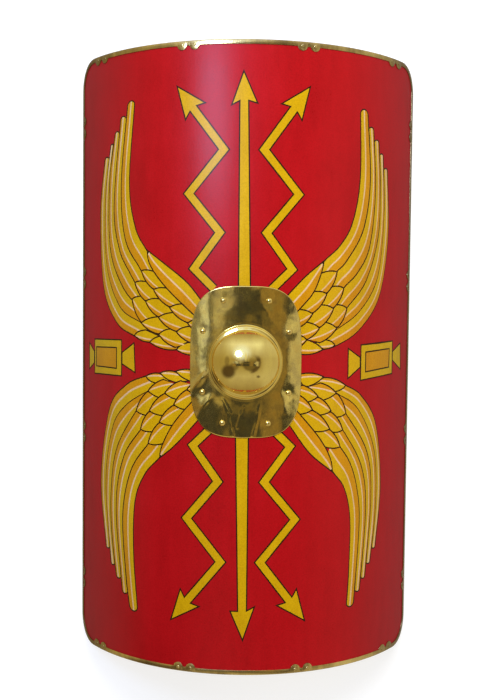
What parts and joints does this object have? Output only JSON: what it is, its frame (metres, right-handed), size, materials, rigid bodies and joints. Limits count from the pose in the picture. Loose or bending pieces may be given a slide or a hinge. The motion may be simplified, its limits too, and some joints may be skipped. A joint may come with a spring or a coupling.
{
  "type": "shield",
  "caption": "Tall curved Roman legionary shield (scutum): red board with painted wings and thunderbolts, brass rim, domed brass boss and a wooden grip behind it.",
  "frame": {"origin": "on the ground under the middle of the shield, which lies face up on its two long side edges", "axes": "+Y towards the shield's top, +Z out of the painted face and up, +X to the right as seen from the front"},
  "size_m": [0.598, 1.05, 0.2195],
  "materials": {
    "painted_board": "plywood with a finely grained facing, painted glossy red with a yellow and orange design lined in black; bare plywood at the back",
    "edging_brass": "polished brass sheet",
    "boss_brass": "polished pressed brass sheet, slightly buckled",
    "rivet_brass": "polished brass",
    "grip_wood": "smooth pale hardwood"
  },
  "bodies": {
    "root": {"board": "painted_board", "boss": "boss_brass", "boss_rivet_1": "rivet_brass", "boss_rivet_2": "rivet_brass", "boss_rivet_3": "rivet_brass", "boss_rivet_4": "rivet_brass", "boss_rivet_5": "rivet_brass", "boss_rivet_6": "rivet_brass", "boss_rivet_7": "rivet_brass", "boss_rivet_8": "rivet_brass", "edging_bottom_left": "edging_brass", "edging_bottom_middle": "edging_brass", "edging_bottom_right": "edging_brass", "edging_corner_bottom_left": "edging_brass", "edging_corner_bottom_right": "edging_brass", "edging_corner_top_left": "edging_brass", "edging_corner_top_right": "edging_brass", "edging_left_bottom": "edging_brass", "edging_left_middle": "edging_brass", "edging_left_top": "edging_brass", "edging_right_bottom": "edging_brass", "edging_right_middle": "edging_brass", "edging_right_top": "edging_brass", "edging_top_left": "edging_brass", "edging_top_middle": "edging_brass", "edging_top_right": "edging_brass", "grip": "grip_wood"}
  },
  "joints": []
}
